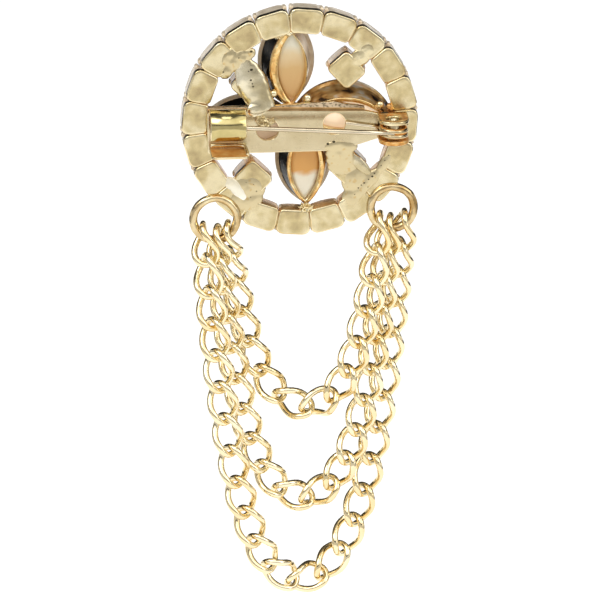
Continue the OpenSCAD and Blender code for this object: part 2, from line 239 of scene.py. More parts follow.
def finish_piece(name, bm, materials, smooth=True, body="brooch"):
    """Makes the drawn shape a piece in metres that rides on a body."""
    bmesh.ops.recalc_face_normals(bm, faces=bm.faces)
    bmesh.ops.translate(bm, vec=(0, BACK_Y, 0), verts=bm.verts)
    bmesh.ops.scale(bm, vec=(MM, MM, MM), verts=bm.verts)
    me = bpy.data.meshes.new(name)
    bm.to_mesh(me)
    bm.free()
    if smooth:
        me.polygons.foreach_set("use_smooth", [True] * len(me.polygons))
    for m in materials:
        me.materials.append(m)
    o = bpy.data.objects.new(name, me)
    bpy.context.collection.objects.link(o)
    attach(o, body)
    return o


def turn(x, z, deg, cx=0.0, cz=0.0):
    """Point turned by deg about the origin, then moved by cx and cz."""
    a = math.radians(deg)
    return cx + x * math.cos(a) - z * math.sin(a), cz + x * math.sin(a) + z * math.cos(a)


def loft(bm, rings, rows=None, caps=(0, 0), closed=False, pick=None):
    """Skin over rings of points. rows: a material number per row. caps: material numbers, or None.
    pick(row, column, number) may change the number of a face."""
    verts = [[bm.verts.new(p) for p in r] for r in rings]
    n = len(verts[0])
    for k in range(len(verts) if closed else len(verts) - 1):
        a, b = verts[k], verts[(k + 1) % len(verts)]
        for j in range(n):
            f = bm.faces.new((a[j], a[(j + 1) % n], b[(j + 1) % n], b[j]))
            f.material_index = rows[k] if rows else 0
            if pick:
                f.material_index = pick(k, j, f.material_index)
    if not closed:
        for end, cap in ((verts[0], caps[0]), (verts[-1], caps[1])):
            if cap is not None:
                bm.faces.new(end).material_index = cap


def circle(cx, cy, r, n=32):
    return [turn(r, 0, 360 * i / n, cx, cy) for i in range(n)]


def tube(bm, pts, radius, sides=16, closed=True, ups=None, mat=0):
    """Round tube along points. radius: one number or one per point. ups: where each section's first
    corner points; without them the sections turn as little as they can."""
    n = len(pts)
    rings, up = [], None
    for i, p in enumerate(pts):
        before = pts[(i - 1) % n] if closed or i else p
        after = pts[(i + 1) % n] if closed or i < n - 1 else p
        t = (after - before).normalized()
        e = ups[i] if ups else (up or Vector((0.1, 0.2, 1)))
        e = e - t * e.dot(t)
        if e.length < 1e-3:
            e = Vector((0, 1, 0)) - t * t.y
        e.normalize()
        up, f = e, t.cross(e)
        r = radius[i] if isinstance(radius, (list, tuple)) else radius
        rings.append([p + u * e + v * f for u, v in circle(0, 0, r, sides)])
    loft(bm, rings, [mat] * len(rings), (mat, mat), closed)


def round_ends(pts, r, steps=3):
    """Points and radii of an open tube, with points added that round off both its ends."""
    first, last = (pts[1] - pts[0]).normalized(), (pts[-1] - pts[-2]).normalized()
    angles = [math.pi / 2 * (k + 0.3) / steps for k in range(steps)]
    reach = [0.6 * r * math.cos(a) for a in angles]
    radii = [r * math.sin(a) for a in angles]
    out = [pts[0] - first * d for d in reach] + pts + [pts[-1] + last * d for d in reversed(reach)]
    return out, radii + [r] * len(pts) + radii[::-1]


def rounded(pts, r, n=6):
    """A polygon with its corners rounded off by arcs of radius r (or a radius per corner)."""
    out = []
    for i, p in enumerate(pts):
        p = Vector(p)
        a = Vector(pts[i - 1]) - p
        b = Vector(pts[(i + 1) % len(pts)]) - p
        rad = r[i] if isinstance(r, (list, tuple)) else r
        half = a.angle(b) / 2
        cut = min(rad / math.tan(half), a.length * 0.49, b.length * 0.49)
        rad = cut * math.tan(half)
        a.normalize()
        b.normalize()
        centre = p + (a + b).normalized() * rad / math.sin(half)
        start, end = p + a * cut - centre, p + b * cut - centre
        sweep = math.degrees(math.atan2(start.x * end.y - start.y * end.x, start.dot(end)))
        out += [turn(start.x, start.y, sweep * k / n, *centre) for k in range(n + 1)]
    return out


def plate(name, loops, thick, bevel, to, materials, flat=(0, 0), rim=0):
    """Bevelled sheet cut to loops (outline first, then holes); to(u, v, w) gives the place, w across the
    sheet. flat: material numbers of its two faces. rim: that of its edge."""
    cu = bpy.data.curves.new("outline", "CURVE")
    cu.dimensions = "2D"
    cu.fill_mode = "BOTH"
    for loop in loops:
        sp = cu.splines.new("POLY")
        sp.points.add(len(loop) - 1)
        for p, (u, v) in zip(sp.points, loop):
            p.co = (u, v, 0, 1)
        sp.use_cyclic_u = True
    cu.extrude = thick / 2 - bevel
    cu.bevel_depth = bevel
    cu.bevel_resolution = 2
    cu.offset = -bevel
    bm = drawn_mesh(bpy.data.objects.new("outline", cu))
    bmesh.ops.remove_doubles(bm, verts=bm.verts, dist=MERGE)
    bm.normal_update()
    for f in bm.faces:
        if f.normal.z > FLAT:
            f.material_index = flat[0]
        elif f.normal.z < -FLAT:
            f.material_index = flat[1]
        else:
            f.material_index = rim
    for v in bm.verts:
        v.co = to(*v.co)
    o = finish_piece(name, bm, materials, smooth=False)
    for p in o.data.polygons:
        p.use_smooth = len(p.vertices) == 4 and p.area < SMALL_FACE
    return o


def drawn_mesh(tmp):
    """The mesh that a scratch object gives, with its curve or modifiers worked out; the object goes."""
    bpy.context.collection.objects.link(tmp)
    bpy.context.view_layer.update()
    me = bpy.data.meshes.new_from_object(tmp.evaluated_get(bpy.context.evaluated_depsgraph_get()))
    bpy.data.objects.remove(tmp)
    bm = bmesh.new()
    bm.from_mesh(me)
    bm.normal_update()
    return bm


def fused(parts, voxel, soft, rough, scale):
    """One smooth body from overlapping ellipsoids (x, y, z, half-sizes x, y, z, turn in the XZ plane).
    voxel: size of its grid. soft: rounds of smoothing. rough: height of its bumps. scale: their density."""
    bm = bmesh.new()
    for x, y, z, rx, ry, rz, deg in parts:
        for v in bmesh.ops.create_icosphere(bm, subdivisions=3, radius=1.0)["verts"]:
            u, w = turn(v.co.x * rx, v.co.z * rz, deg)
            v.co = Vector((x + u, y + v.co.y * ry, z + w))
    me = bpy.data.meshes.new("blob")
    bm.to_mesh(me)
    bm.free()
    tmp = bpy.data.objects.new("blob", me)
    fuse = tmp.modifiers.new("fuse", "REMESH")
    fuse.mode = "VOXEL"
    fuse.voxel_size = voxel
    if soft:
        soften = tmp.modifiers.new("soften", "SMOOTH")
        soften.factor = 0.5
        soften.iterations = soft
    bm = drawn_mesh(tmp)
    if rough:
        for v in bm.verts:
            v.co += v.normal * rough * noise.fractal(v.co * scale, 1.0, 2.0, 3)
    return bm


def add_pits(bm, spots):
    """Small dark dimples on the side that faces -Y, as thin discs (x, z, r)."""
    in_front, depth, oval = -8, 0.05, 0.8
    tree = BVHTree.FromBMesh(bm)
    for x, z, r in spots:
        hit, normal, _, _ = tree.ray_cast(Vector((x, in_front, z)), Vector((0, 1, 0)))
        if hit is None:
            continue
        facing = normal.to_track_quat("Z", "Y").to_matrix().to_4x4()
        m = Matrix.Translation(hit) @ facing @ Matrix.Diagonal((r, r * oval, depth, 1))
        new = bmesh.ops.create_icosphere(bm, subdivisions=2, radius=1.0, matrix=m)["verts"]
        for f in {f for v in new for f in v.link_faces}:
            f.material_index = 1


# Square cups and their stones

RIM_R = 14.2
RIM_START = -3.5
RIM_CUPS = 20
RIM_CUP = (3.5, 4.42, 2.6)  # across the rim, along the rim, depth
CORNER_CUP = (3.8, 4.2, 2.9)
# centre x and z, direction of the side that faces the rim
CORNERS = ((6.35, 7.15, 42), (-6.8, 5.5, 136), (-6.3, -7.85, 226), (6.5, -6.5, 315))
CUP_MATERIALS = [PLATE, EDGE_HIGHLIGHT, INNER_REFLECTION, SIDE, SHADE]
BACK, ROLL, INSIDE, OUTSIDE, SHADE_LINE = range(5)  # places in CUP_MATERIALS


def spread(p, q, count):
    """Points between p and q, without the two."""
    return [(p[0] + (q[0] - p[0]) * k / (count + 1), p[1] + (q[1] - p[1]) * k / (count + 1))
            for k in range(1, count + 1)]


def rounded_box(a, b, outer, inner, n=4, side=3):
    """Box 2a by 2b with points along its sides, its corners rounded by radius outer at +x, inner at -x."""
    pts = []
    for x, z, r, start in ((a, b, outer, 0), (-a, b, inner, 90), (-a, -b, inner, 180), (a, -b, outer, 270)):
        cx, cz = x - math.copysign(r, x), z - math.copysign(r, z)
        arc = [turn(r, 0, start + 90 * i / n, cx, cz) for i in range(n + 1)]
        if pts:
            pts += spread(pts[-1], arc[0], side)
        pts += arc
    return pts + spread(pts[-1], pts[0], side)


def prong(bm, at, foot, tip, d):
    """Claw that rises from the cup's wall and bends over the stone, drawn from its foot to its tip."""
    wire = 0.3
    # share of the way from foot to tip, depth
    bend = ((0, d - 1.0), (0.03, d - 0.05), (0.25, d + 0.4), (0.65, d + 0.62), (1.0, d + 0.68))
    line = []
    for t, y in bend:
        p = foot.lerp(tip, t)
        line.append(at(p.x, y, p.y))
    pts, radii = round_ends(line, wire)
    tube(bm, pts, radii, 8, False, mat=OUTSIDE)


def cup(name, size, at, corners):
    """Pressed cup: flat back with a rolled edge, walls that rise between four prongs bent over the stone."""
    h, w, d = size
    a, b = h / 2, w / 2
    # the rolled edge is in a paler gold, a painted highlight, and the near-black band below it is painted
    # shade
    # inset from the outline, depth, material of the row that follows
    steps = ((0.95, 0.02, BACK), (0.4, 0.0, BACK), (0.2, 0.0, ROLL), (0.09, 0.03, ROLL), (0.02, 0.12, ROLL),
             (0.0, 0.3, SHADE_LINE), (0.0, 0.85, OUTSIDE), (0.0, d - 0.25, OUTSIDE), (0.05, d - 0.05, OUTSIDE),
             (0.17, d, OUTSIDE), (0.3, d - 0.1, INSIDE), (0.34, 0.8, INSIDE), (0.6, 0.6, INSIDE))
    wall_first, wall_last = 4, 9
    inward = -0.35 * a
    rise = 0.55  # the walls' edge is this much higher in the middle of each side
    wavy_from = d - 0.3
    rings = []
    for inset, y, _ in steps:
        outer, inner = (max(r - inset * 0.6, 0.2) for r in corners)
        top = rise if y > wavy_from else 0.0
        rings.append([at(x, y + top * (1 - min(abs(x) / a, abs(z) / b) ** 2), z)
                      for x, z in rounded_box(a - inset, b - inset, outer, inner)])
    outline = rounded_box(a, b, *corners)

    # walls that face the wreath's middle are painted orange as reflection
    def pick(k, j, m):
        return INSIDE if wall_first <= k <= wall_last and outline[j][0] < inward else m

    bm = bmesh.new()
    loft(bm, rings, [m for _, _, m in steps], (BACK, INSIDE), pick=pick)
    for sx in (-1, 1):
        for sz in (-1, 1):
            foot = Vector(((a - 0.3) * sx, (b - 0.3) * sz))
            tip = Vector(((a - 1.0) * sx, (b - 1.0) * sz))
            prong(bm, at, foot, tip, d)
    return finish_piece(name, bm, CUP_MATERIALS)


def cut_gem(name, at, a, b, floor_y, top_y):
    """Square crystal 2a by 2b: foiled pavilion, clear crown with a table."""
    middle = floor_y + (top_y - floor_y) * 0.55
    # share of the size, cut corner, depth
    levels = ((0.35, 0.12, floor_y + 0.15), (0.75, 0.3, middle), (1, 0.5, top_y - 0.25), (1, 0.5, top_y),
              (0.82, 0.42, top_y + 0.7), (0.6, 0.34, top_y + 1.15))
    rings = []
    for share, c, y in levels:
        u, v = a * share, b * share
        rings.append([at(x, y, z) for x, z in ((u - c, -v), (u, c - v), (u, v - c), (u - c, v),
                                               (c - u, v), (-u, v - c), (-u, c - v), (c - u, -v))])
    bm = bmesh.new()
    loft(bm, rings, [1, 1, 0, 0, 0], (1, 0))
    return finish_piece(name, bm, [CRYSTAL, FOIL_SILVER], smooth=False)


def rim_place(i):
    """Where rim cup i puts a point: x outwards, z along the rim, each cup turned a little askew."""
    ang = RIM_START + 360 * (i - 1) / RIM_CUPS
    skew = -2 * math.sin(math.radians(137 * i))

    def at(x, y, z):
        u, w = turn(x, z * (1 + x / RIM_R), skew)
        px, pz = turn(RIM_R + u, w, ang)
        return Vector((px, y, pz))

    return at


def flat_place(cx, cz, deg):
    """Where a setting puts a point: x along direction deg from its centre."""
    def at(x, y, z):
        px, pz = turn(x, z, deg, cx, cz)
        return Vector((px, y, pz))

    return at


def wreath():
    """The cups of the rim and the four diagonal cups, each with its stone."""
    stone_floor = 0.5
    for i in range(1, RIM_CUPS + 1):
        at = rim_place(i)
        c = cup("rim_cup_%02d" % i, RIM_CUP, at, (1.05, 0.5))
        if i == 1:
            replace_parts(c, "setting_frame")
        g = cut_gem("rim_gem_%02d" % i, at, 1.28, 1.53, stone_floor, RIM_CUP[2])
        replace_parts(g, "rim_stone_%02d" % i)
    for i, row in enumerate(CORNERS, 1):
        at = flat_place(*row)
        cup("corner_cup_%d" % i, CORNER_CUP, at, (0.75, 0.75))
        g = cut_gem("corner_gem_%d" % i, at, 1.43, 1.63, stone_floor, CORNER_CUP[2])
        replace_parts(g, "corner_stone_%d" % i)


def rim_bridge():
    """The ring that joins the cups: necks in the notches, a wavy inner edge."""
    # radius, depth, material of the face that follows: 0 the plate's, 1 the inner one, painted orange as
    # reflection
    section = ((12.9, 0.4, 1), (13.0, 0.28, 0), (14.9, 0.25, 0), (15.05, 0.35, 0), (15.1, 0.6, 0),
               (15.0, 0.95, 0), (13.0, 1.0, 1), (12.88, 0.8, 1))
    steps, wave = 240, 0.1
    rings = []
    for c, s in circle(0, 0, 1, steps):
        dr = wave * noise.noise(Vector((c * 9, s * 9, 0.3)))
        rings.append([Vector(((r + dr) * c, y + dr * 0.5, (r + dr) * s)) for r, y, _ in section])
    bm = bmesh.new()
    loft(bm, rings, closed=True, pick=lambda k, j, m: section[j][2])
    finish_piece("rim_bridge", bm, [PLATE, INNER_REFLECTION])


wreath()
rim_bridge()


# Petals

# name, centre x and z, direction of the long axis, shift of the opening in x, side on which the outer wall is
# painted black as a dark reflection
PETALS = (
    ("top", -1.45, 7.3, 90, 0.45, (-1.0, 0.0)),
    ("right", 6.1, 0.45, 0, 0.0, (0.0, 0.0)),
    ("bottom", 0.9, -6.5, 90, -0.1, (-1.0, 0.0)),
    ("left", -6.7, -1.2, 0, 0.0, (-0.4, 0.9)),
)
PETAL_WALLS = {"top": SIDE, "right": WALL, "bottom": SIDE_WARM, "left": SIDE}
PETAL_L, PETAL_W = 6.5, 3.85
ARC_R = (PETAL_L ** 2 + PETAL_W ** 2) / (2 * PETAL_W)
# rows of pale edge gold are painted highlights, the inside rows are painted orange as reflection
PETAL_PROFILE = (
    # depth, half-width, share of the opening's shift, material of the row that follows
    (1.6, 1.84, 1.0, "edge"), (1.2, 1.9, 1.0, "edge"), (1.08, 2.0, 1.0, "ledge"),
    (1.0, 2.28, 0.5, "ledge"), (1.04, 2.5, 0.0, "edge"), (1.18, 2.6, 0.0, "wall"),
    (4.85, 3.25, 0.0, "wall"), (5.0, 3.36, 0.0, "flange"), (5.08, 3.72, 0.0, "flange"),
    (5.3, 3.85, 0.0, "flange"), (5.6, 3.8, 0.0, "edge"), (5.75, 3.5, 0.0, "edge"),
    (5.8, 3.25, 0.0, "edge"), (5.65, 3.08, 0.0, "inside"), (5.2, 3.0, 0.0, "inside"),
    (2.0, 2.2, 0.0, "inside"),
)
PETAL_SLOTS = ("edge", "ledge", "wall", "dark", "flange", "inside")
# depth, half-width
FOIL_PROFILE = ((1.75, 1.92), (1.62, 1.7), (1.56, 1.2), (1.5, 0.6), (1.48, 0.15))
# depth, half-length, half-width
GEM_LEVELS = ((2.2, 3.4, 1.3), (4.0, 4.9, 2.45), (5.3, 5.1, 2.9), (6.1, 4.5, 2.35), (6.8, 3.7, 1.7))


def boat(l, w, n):
    """Boat-shaped outline of half-length l and half-width w with n points, its sides arcs of one radius."""
    r = (l * l + w * w) / (2 * w)
    pts = []
    for i in range(n):
        s = 1 if i < n // 2 else -1
        x = s * l * (1 - 4 * (i % (n // 2)) / n)
        pts.append((x, s * (math.sqrt(r * r - x * x) - r + w)))
    return pts


def petal_outline(w, n=48):
    """A petal's outline at half-width w: the arcs have the same radius at every depth."""
    return boat(math.sqrt(w * (2 * ARC_R - w)), w, n)


def petal_cup(side, at, deg, shift, shade_toward):
    """Boat-shaped setting with an open back, its outer wall painted black as a dark reflection on one side.
    """
    dark_enough = 0.3
    outline = petal_outline(PETAL_W)
    in_shade = []
    for i, (x, z) in enumerate(outline):
        # a tip belongs to the arc that ends in it
        arc_side = 1 if 0 < i <= len(outline) // 2 else -1
        way = Vector(turn(x, z + arc_side * (ARC_R - PETAL_W), deg)).normalized()
        in_shade.append(way.dot(Vector(shade_toward)) > dark_enough)
    wall, dark = PETAL_SLOTS.index("wall"), PETAL_SLOTS.index("dark")

    def pick(k, j, m):
        return dark if m == wall and in_shade[j] else m

    bm = bmesh.new()
    rings = [[at(x, y, z) + Vector((shift * share, 0, 0)) for x, z in petal_outline(w)]
             for y, w, share, _ in PETAL_PROFILE]
    loft(bm, rings, [PETAL_SLOTS.index(slot) for *_, slot in PETAL_PROFILE], closed=True, pick=pick)
    look = PETAL_WALLS[side]
    finish_piece("petal_cup_" + side, bm, [EDGE_HIGHLIGHT, LEDGE, look, DARK_REFLECTION, look, INNER_REFLECTION])


def petal_foil(side, at, shift):
    bm = bmesh.new()
    rings = [[at(x, y, z) + Vector((shift, 0, 0)) for x, z in petal_outline(w)] for y, w in FOIL_PROFILE]
    loft(bm, rings, caps=(None, 0))
    finish_piece("petal_foil_" + side, bm, [FOILS[side]])


def petal_gem(side, at):
    bm = bmesh.new()
    loft(bm, [[at(x, y, z) for x, z in boat(l, w, 12)] for y, l, w in GEM_LEVELS], [1, 0, 0, 0], (1, 0))
    g = finish_piece("petal_gem_" + side, bm, [CRYSTAL, FOIL_SILVER], smooth=False)
    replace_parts(g, "petal_stone_" + side)


for side, cx, cz, deg, shift, shade_toward in PETALS:
    petal_place = flat_place(cx, cz, deg)
    petal_cup(side, petal_place, deg, shift, shade_toward)
    petal_foil(side, petal_place, shift)
    petal_gem(side, petal_place)


# Pin bar, catch and joint

SHEET = 0.55  # nominal sheet of the catch, flange and ears
BAR_T = 0.8
BAR_LOW, BAR_CREASE, BAR_LEFT, CREASE_END = -3.95, 2.0, -12.6, 8.7
BAR_HOLES = ((-4.45, -0.7), (4.6, -0.1))
BAR_HOLE_R = 1.5
JOINT_LEFT, JOINT_RIGHT = 10.4, 14.5
BAR_RIGHT = 10.9
EAR_LOW, EAR_HIGH = -2.2, 1.18
PIVOT = (12.4, -3.1)  # x and y of the rivet


def facing_back(u, v, w):
    """Place on a flat sheet of the bar's thickness that lies on the cups' backs and faces -Y."""
    return Vector((u, -BAR_T / 2 - w, v))


def level(z):
    """Placer for a sheet that lies level at height z."""
    return lambda u, v, w: Vector((u, v, z + w))


def pin_bar():
    corners = [(BAR_LEFT, BAR_LOW), (6.2, BAR_LOW), (7.6, -3.2), (BAR_RIGHT, EAR_LOW), (BAR_RIGHT, 1.1),
               (CREASE_END, 1.65), (4.5, 1.75), (-3.0, BAR_CREASE), (BAR_LEFT, BAR_CREASE)]
    outline = rounded(corners, [0.5, 0.8, 0.8, 0.2, 0.2, 0.3, 0, 0, 0.2])
    holes = [circle(x, z, BAR_HOLE_R) for x, z in BAR_HOLES]
    # the bar's rim is a pale painted highlight
    plate("pin_bar", [outline] + holes, BAR_T, 0.12, facing_back, [BAR, EDGE_HIGHLIGHT, SIDE], flat=(0, 2), rim=1)


def along(x, places, values):
    """Value at x on the line through the given places, level beyond its ends."""
    for a, b, u, v in zip(places, places[1:], values, values[1:]):
        if x < b:
            return u + (v - u) * max(0.0, (x - a) / (b - a))
    return values[-1]


def bar_top():
    """The bar's bent upper edge: a crease painted orange-brown as shade, then a worn grey slope with a wavy
    ridge in the pale gold of a painted highlight.
    """
    steps, wave_height = 160, 0.08
    rings = []
    for i in range(steps + 1):
        x = BAR_LEFT + (CREASE_END - BAR_LEFT) * i / steps
        wave = wave_height * noise.noise(Vector((x * 0.7, 0, 0)))
        crease = along(x, (-3.0, 4.5, CREASE_END), (1.95, 1.7, 1.55))
        ridge = along(x, (-3.0, 1.0, 4.5, CREASE_END), (2.55, 2.75, 2.9, 2.1)) + wave
        # depth, height
        section = ((-0.79, crease - 0.15), (-0.78, crease), (-0.74, crease + 0.28), (-0.66, crease + 0.5),
                   (0.0, ridge - 0.12), (0.1, ridge), (0.28, ridge - 0.02), (0.3, crease - 0.1),
                   (-0.3, crease - 0.2))
        rings.append([Vector((x, y, z)) for y, z in section])
    # the crease in painted shade, the ridge a pale painted highlight
    face_materials = (1, 1, 1, 0, 2, 2, 3, 3, 3)
    bm = bmesh.new()
    loft(bm, rings, pick=lambda k, j, m: face_materials[j])
    finish_piece("bar_top_edge", bm, [BAR_EDGE, CREASE_SHADE, EDGE_HIGHLIGHT, SIDE])


def bent_sheet(name, path, ends, thick, materials, bands):
    """Sheet that follows a path in the YZ plane; ends(i) gives its two ends in x.
    bands: two lists, of the material per step on each face; material 1 is the edges'."""
    half, bevel = thick / 2, thick * 0.3
    rings = []
    for i, p in enumerate(path):
        a, b = path[max(i - 1, 0)], path[min(i + 1, len(path) - 1)]
        t = Vector((b[0] - a[0], b[1] - a[1])).normalized()
        normal = Vector((t.y, -t.x))
        x0, x1 = ends(i)
        section = ((x0, bevel - half), (x0 + bevel, -half), (x1 - bevel, -half), (x1, bevel - half),
                   (x1, half - bevel), (x1 - bevel, half), (x0 + bevel, half), (x0, half - bevel))
        rings.append([Vector((x, p[0] + normal.x * w, p[1] + normal.y * w)) for x, w in section])
    face_bands = {1: bands[0], 5: bands[1]}

    def pick(k, j, m):
        return face_bands[j][k] if j in face_bands else 1

    bm = bmesh.new()
    loft(bm, rings, caps=(1, 1), pick=pick)
    finish_piece(name, bm, materials)


def catch_roll():
    """Rolled sheet over the pin's point, its lower right corner cut round."""
    roll_y, roll_z, roll_r = -2.3, 0.55, 2.0
    start, sweep, steps = 12, 228, 60
    left, right = -12.45, -7.55
    cut_from, cut = 0.86, 1.2

    def ends(i):
        t = (i / steps - cut_from) / (1 - cut_from)
        return left, right - (0.0 if t < 0 else cut * (1 - math.sqrt(max(0.0, 1 - t * t))))

    path = [turn(roll_r, 0, start + sweep * i / steps, roll_y, roll_z) for i in range(steps + 1)]
    # the inside is painted orange as reflection, the outside starts with a near-black band of painted shade,
    # the sheet's edges are a pale painted highlight
    inner = [2] * steps
    outer = [3] * 2 + [0] * (steps - 2)
    bent_sheet("catch_roll", path, ends, SHEET * 0.75, [CATCH, EDGE_HIGHLIGHT, INNER_REFLECTION, SHADE], (inner, outer))


def catch_flange():
    """Tab below the catch, painted orange as reflection, with a bead along its root and its right side in the
    pale gold of a painted highlight.
    """
    left, right, root, front = -12.35, -7.25, -0.5, -4.85
    corners = [(left, root), (left, front), (right, front), (right, root)]
    tab = rounded(corners, [0.2, 0.75, 0.75, 0.2])
    plate("catch_flange", [tab], SHEET * 0.6, 0.1, level(-3.6 + SHEET / 2), [ORANGE_REFLECTION, EDGE_HIGHLIGHT], rim=1)
    line = ((left + 0.3, -0.85, -2.7), (-9.0, -0.85, -2.7), (-8.1, -0.9, -2.75), (-7.6, -1.2, -2.85),
            (-7.45, -1.8, -3.0), (-7.42, -4.2, -3.1))
    pts, radii = round_ends([Vector(p) for p in line], 0.27)
    bm = bmesh.new()
    tube(bm, pts, radii, 12, False)
    finish_piece("catch_flange_rim", bm, [EDGE_HIGHLIGHT])


def joint():
    """Bracket of the pin: a plate on the bar and two ears with holes for the rivet."""
    bent = EAR_LOW + 0.5
    base = rounded([(JOINT_LEFT, bent), (10.9, EAR_LOW), (14.0, EAR_LOW), (JOINT_RIGHT, bent),
                    (JOINT_RIGHT, EAR_HIGH), (JOINT_LEFT, EAR_HIGH)], 0.25)
    # the plate is painted orange as reflection, its rim a pale painted highlight
    plate("joint_plate", [base], BAR_T, 0.12, facing_back, [ORANGE_REFLECTION, EDGE_HIGHLIGHT], rim=1)
    root, front = -0.5, -4.95
    ear = rounded([(JOINT_LEFT, root), (JOINT_LEFT, front), (JOINT_RIGHT, front), (JOINT_RIGHT, root)],
                  [0.1, 1.9, 1.9, 0.1])
    plate("joint_ear_low", [ear, circle(*PIVOT, 0.88, 28)], SHEET, 0.14, level(EAR_LOW + SHEET / 2),
          [EAR, EAR], rim=1)
    # the upper ear's underside is painted orange as reflection, its rim a pale painted highlight
    plate("joint_ear_high", [ear, circle(*PIVOT, 1.05, 28)], SHEET, 0.14, level(EAR_HIGH - SHEET / 2),
          [EAR, EDGE_HIGHLIGHT, ORANGE_REFLECTION], flat=(0, 2), rim=1)


def rivet():
    """Tubular rivet with a sunk, spread head at the top and a domed one below."""
    # radius, height
    profile = ((0.7, -2.69), (1.02, -2.6), (1.08, -2.48), (1.02, -2.32), (0.78, -2.26), (0.78, 0.8),
               (0.76, 0.98), (0.68, 1.07), (0.55, 1.06), (0.42, 0.85), (0.36, 0.6))
    bm = bmesh.new()
    loft(bm, [[Vector((x, y, z)) for x, y in circle(*PIVOT, r, 40)] for r, z in profile])
    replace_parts(finish_piece("rivet", bm, [SOLDER_WHITE]), "pivot_rivet")


PIN_Z, COIL_R, WIRE_R, COIL_STEP, COIL_TURNS = -0.41, 1.65, 0.34, 0.68, 2
PIN_WAY = Vector((-0.9954, 0.0889, 0.0365)).normalized()  # from the joint to the catch
PIN_LENGTH, PIN_TAPER = 24.3, 3.0
LEG_START, LEG_RISE, LEG_R = Vector((11.0, -1.14, -0.7)), 9.5, 0.24
WIRE_MATERIALS = [WIRE, WIRE_DARK_REFLECTION, ORANGE_REFLECTION, COIL_SHADE]


def shade_wire(bm):
    """Wire with painted light: painted dark reflections where it faces up and down, painted shade in the
    coil, painted orange reflection between its turns.
    """
    facing_up, facing_down = 0.84, -0.5
    bm.normal_update()
    for f in bm.faces:
        in_coil = f.calc_center_median().x > PIVOT[0] - COIL_R - 1
        if f.normal.z > facing_up or f.normal.z < facing_down:
            look = ORANGE_REFLECTION if in_coil else WIRE_DARK_REFLECTION
        else:
            look = COIL_SHADE if in_coil else WIRE
        f.material_index = WIRE_MATERIALS.index(look)


def pin():
    """The pin with its coil, closed."""
    steps = 40
    coil = []
    for i in range(COIL_TURNS * steps + 1):
        x, y = turn(COIL_R, 0, 360 * i / steps, *PIVOT)
        coil.append(Vector((x, y, PIN_Z + COIL_STEP * (COIL_TURNS / 2 - i / steps))))
    bm = bmesh.new()
    pts, radii = round_ends(coil, WIRE_R)
    tube(bm, pts, radii, 16, False)
    start = Vector((PIVOT[0], PIVOT[1] - COIL_R, PIN_Z))
    arm_r = WIRE_R - 0.02
    # distance from the coil, radius
    arm = ((0, arm_r), (6, arm_r), (12, arm_r), (18, arm_r), (PIN_LENGTH - PIN_TAPER, arm_r),
           (PIN_LENGTH - PIN_TAPER / 2, 0.22), (PIN_LENGTH - 0.5, 0.1), (PIN_LENGTH - 0.08, 0.04))
    tube(bm, [start + PIN_WAY * t for t, _ in arm], [r for _, r in arm], 16, False)
    shade_wire(bm)
    o = finish_piece("pin", bm, WIRE_MATERIALS, body="pin")
    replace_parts(o, "pin_stem")


def spring_end():
    """The wire's other end, which lies on the bar."""
    x, z = turn(-1, 0, -LEG_RISE)
    way = Vector((x, 0, z))
    bm = bmesh.new()
    pts, radii = round_ends([LEG_START + way * t for t in (0, 2.5, 4.9)], LEG_R)
    tube(bm, pts, radii, 14, False)
    o = finish_piece("spring_end", bm, [WIRE])
    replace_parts(o, "spring_leg")


pin_bar()
bar_top()
catch_roll()
catch_flange()
joint()
rivet()
pin()
spring_end()


# Solder

def solder(name, parts, voxel=0.12, soft=0, rough=0.0, scale=1.2, material=SOLDER, pits=()):
    """Solder of fused ellipsoids (x, y, z, half-sizes x, y, z, turn), with pits (x, z, r)."""
    bm = fused(parts, voxel, soft, rough, scale)
    add_pits(bm, pits)
    finish_piece(name, bm, [material, PIT])


solder("solder_upper_left",
       [(-7.7, 0.3, 8.3, 1.5, 0.5, 1.5, 40), (-7.1, 0.25, 7.2, 1.9, 0.6, 1.8, 30),
        (-6.7, 0.15, 6.1, 2.2, 0.7, 2.0, 20), (-6.2, 0.1, 5.0, 2.2, 0.75, 1.9, 10),
        (-5.8, 0.05, 3.9, 2.1, 0.8, 1.7, 0), (-5.3, 0.0, 3.0, 1.9, 0.8, 1.5, 0),
        (-4.7, 0.0, 2.3, 1.5, 0.85, 1.1, 0), (-6.0, -0.6, 2.0, 1.5, 0.45, 1.1, 0)],
       voxel=0.13, soft=40, rough=0.02, scale=0.8, material=SOLDER_WHITE,
       pits=[(-6.7, 6.3, 0.16), (-6.5, 5.8, 0.12), (-6.4, 5.4, 0.14), (-6.6, 7.7, 0.22), (-7.0, 7.5, 0.1)])
solder("solder_rim_upper_left",
       [(-8.4, 0.25, 8.9, 2.0, 0.5, 1.3, 45), (-9.6, 0.25, 9.4, 1.6, 0.4, 1.0, 60),
        (-7.2, 0.3, 9.6, 1.4, 0.45, 0.9, 30), (-9.8, 0.3, 7.6, 1.5, 0.45, 0.9, 60),
        (-7.6, 0.3, 8.1, 1.2, 0.5, 1.2, 0)],
       soft=9, rough=0.06, pits=[(-6.6, 10.2, 0.2), (-8.3, 9.4, 0.12), (-10.4, 7.4, 0.12)])
solder("solder_hole_left",
       [(-4.9, -0.75, 0.1, 1.0, 0.35, 0.75, 20), (-4.2, -0.8, 0.35, 0.7, 0.3, 0.5, 0),
        (-5.2, -0.75, 0.7, 0.8, 0.3, 0.6, 0)],
       voxel=0.08, rough=0.4, scale=3.2)
solder("solder_upper_right",
       [(8.2, 0.3, 8.9, 1.8, 0.42, 1.3, 45), (9.1, 0.3, 9.9, 1.4, 0.4, 1.2, 45)],
       soft=12, rough=0.03, material=PLATE, pits=[(8.2, 8.9, 0.06), (9.9, 9.2, 0.08)])
